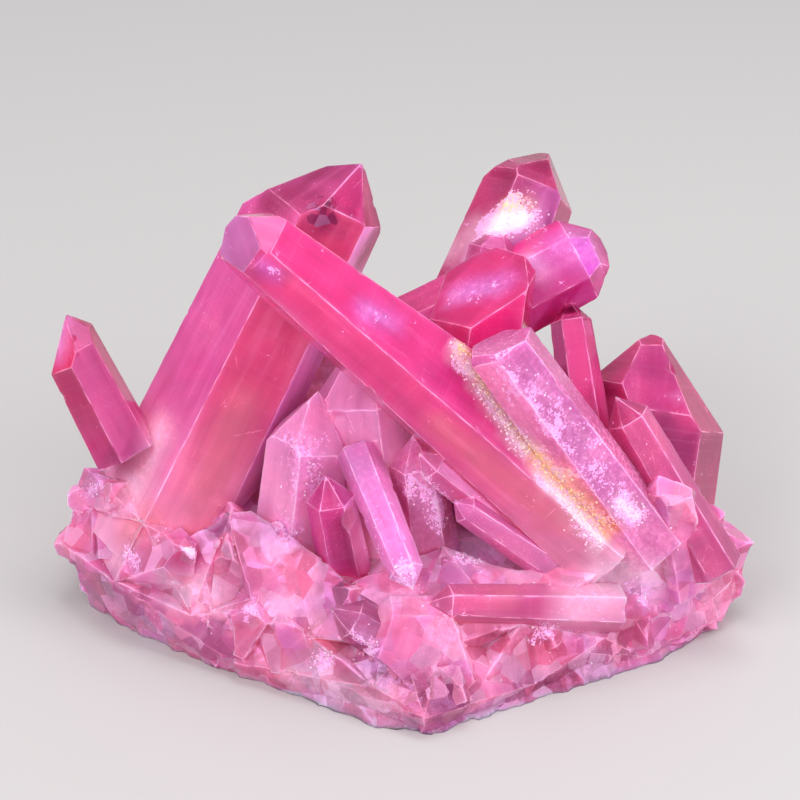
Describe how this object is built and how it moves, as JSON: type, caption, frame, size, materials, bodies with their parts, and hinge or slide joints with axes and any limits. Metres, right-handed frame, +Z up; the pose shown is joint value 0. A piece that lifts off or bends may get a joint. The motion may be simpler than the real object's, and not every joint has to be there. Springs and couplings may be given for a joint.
{
  "type": "aura quartz crystal cluster",
  "caption": "Free-standing cluster of pink aura-coated quartz: long six-sided crystals grown together out of a broken milky bed, lying on a flat broken face",
  "frame": {"origin": "under the middle of the cluster's bounding box, on the flat face it rests on", "axes": "+X along the cluster's longest extent, +Z up, -Y towards the side the long crystals show on"},
  "size_m": [0.085, 0.055, 0.0551],
  "materials": {
    "pink_quartz": "clear to milky quartz under a thin pink metallic sheen, frosted in places"
  },
  "bodies": {
    "root": {"crystal_cluster": "pink_quartz"}
  },
  "joints": []
}
